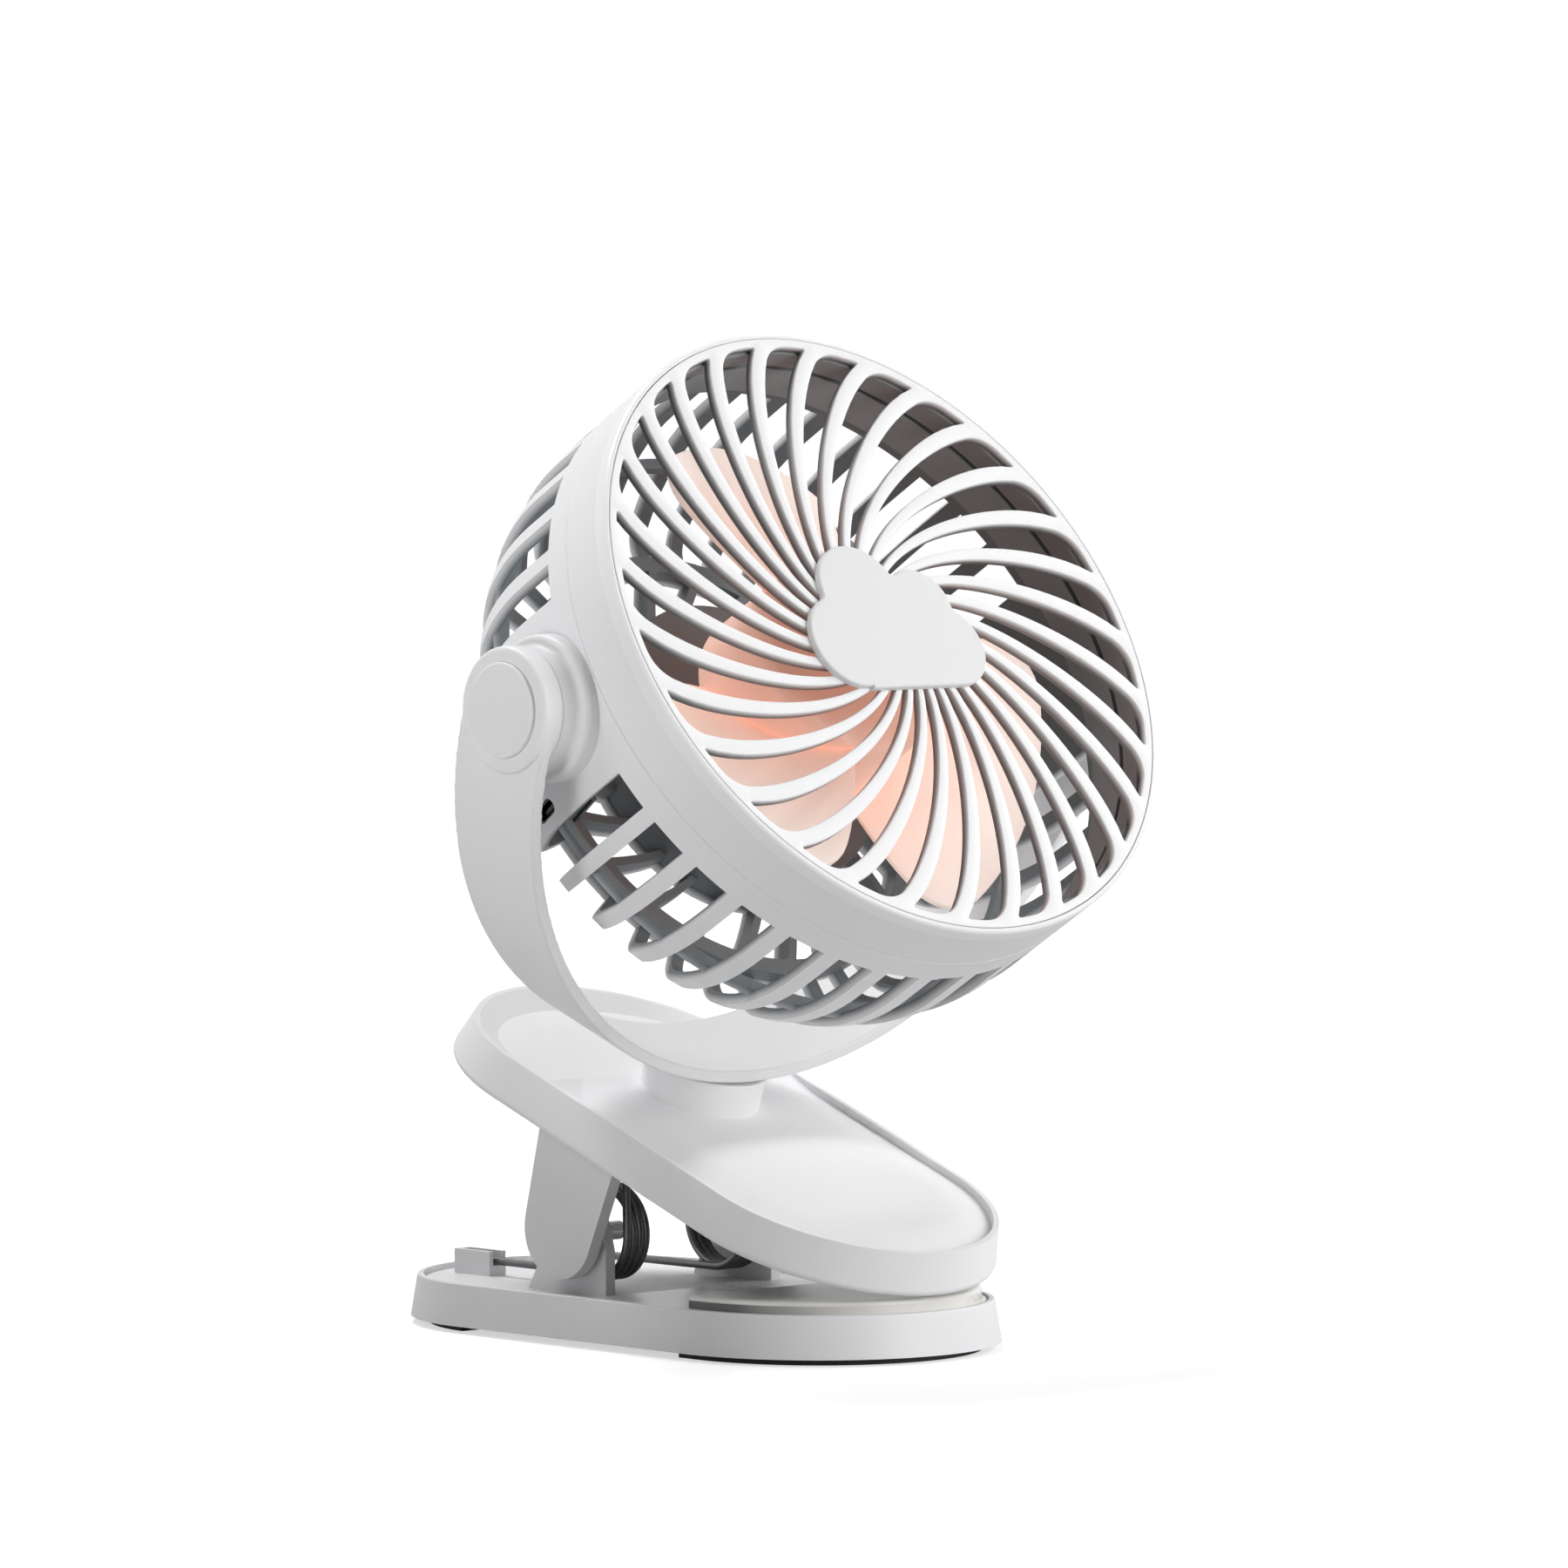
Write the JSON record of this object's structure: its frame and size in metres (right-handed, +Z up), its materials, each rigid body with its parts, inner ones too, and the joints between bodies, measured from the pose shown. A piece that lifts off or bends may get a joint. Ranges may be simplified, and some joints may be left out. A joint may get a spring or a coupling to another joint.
{
  "type": "clip fan",
  "caption": "Round caged desk fan that tilts in a half-ring yoke, swivels on a sprung two-plate clamp and rests on the clamp's flat base.",
  "frame": {"origin": "centre of the lower clamp plate, on the surface the part stands on", "axes": "+X from the clamp's handle end to its jaw end, +Y across the clamp, +Z up"},
  "size_m": [0.1655, 0.1676, 0.2108],
  "materials": {
    "white_shell": "fine satin moulding",
    "white_grille": "smooth moulding",
    "cap_grey": "satin",
    "peach_blade": "smooth, slightly translucent looking",
    "dark_rubber": "matte",
    "cream_pad": "satin soft pad",
    "spring_steel": "dark oiled steel",
    "steel": "bright zinc",
    "motor_can": "plated",
    "brass_insert": "knurled",
    "black_board": "solder mask",
    "battery_wrap": "foil pouch",
    "port_metal": "plated"
  },
  "bodies": {
    "base": {"lower_plate": "white_shell", "bottom_cover": "white_shell", "bottom_screws": "steel", "foot_pad_front": "dark_rubber", "foot_pad_rear": "dark_rubber", "lower_jaw_pad": "cream_pad", "hinge_pins": "steel", "clamp_spring_near": "spring_steel", "clamp_spring_far": "spring_steel"},
    "upper_clamp": {"upper_plate": "white_shell", "upper_cover": "white_shell", "upper_jaw_pad": "dark_rubber", "cover_screws": "steel"},
    "yoke": {"yoke": "white_shell", "pivot_caps": "white_shell", "swivel_washer": "steel", "swivel_screw": "steel"},
    "head": {"rear_shell": "white_shell", "front_shell": "white_shell", "front_grille": "white_grille", "hub_cap": "cap_grey", "rear_cap": "white_shell", "rear_cap_screws": "steel", "control_board": "black_board", "battery": "battery_wrap", "charging_port": "port_metal", "charging_board": "black_board", "motor": "motor_can", "motor_screws": "steel", "pivot_inserts": "brass_insert", "pivot_screws": "steel", "pivot_washers": "steel"},
    "rotor": {"fan_rotor": "peach_blade", "motor_shaft": "steel"},
    "button": {"speed_button": "white_grille"}
  },
  "joints": [
    {"name": "clamp_hinge", "type": "hinge", "parent": "base", "child": "upper_clamp", "pos_m": [-0.0115, 0, 0.0221], "axis": [0, -1, 0], "range_deg": [0, 30], "stiffness_Nm_per_rad": 0.8, "springref_deg": -34.38, "deforming": ["clamp_spring_near", "clamp_spring_far"]},
    {"name": "yoke_swivel", "type": "hinge", "parent": "upper_clamp", "child": "yoke", "pos_m": [0.00162, 0, 0.05784], "axis": [0.3502, 0, 0.9367], "range_deg": [-180, 180]},
    {"name": "head_tilt", "type": "hinge", "parent": "yoke", "child": "head", "pos_m": [0.03059, 0, 0.1353], "axis": [0, -1, 0], "range_deg": [-180, 180]},
    {"name": "rotor_spin", "type": "hinge", "parent": "head", "child": "rotor", "pos_m": [0.03059, 0, 0.1353], "axis": [0.8599, 0, 0.5105], "continuous": true},
    {"name": "button_press", "type": "slide", "parent": "head", "child": "button", "axis": [0.8599, 0, 0.5105], "range_m": [0, 0.001], "stiffness_N_per_m": 400, "springref_m": -0.001}
  ]
}
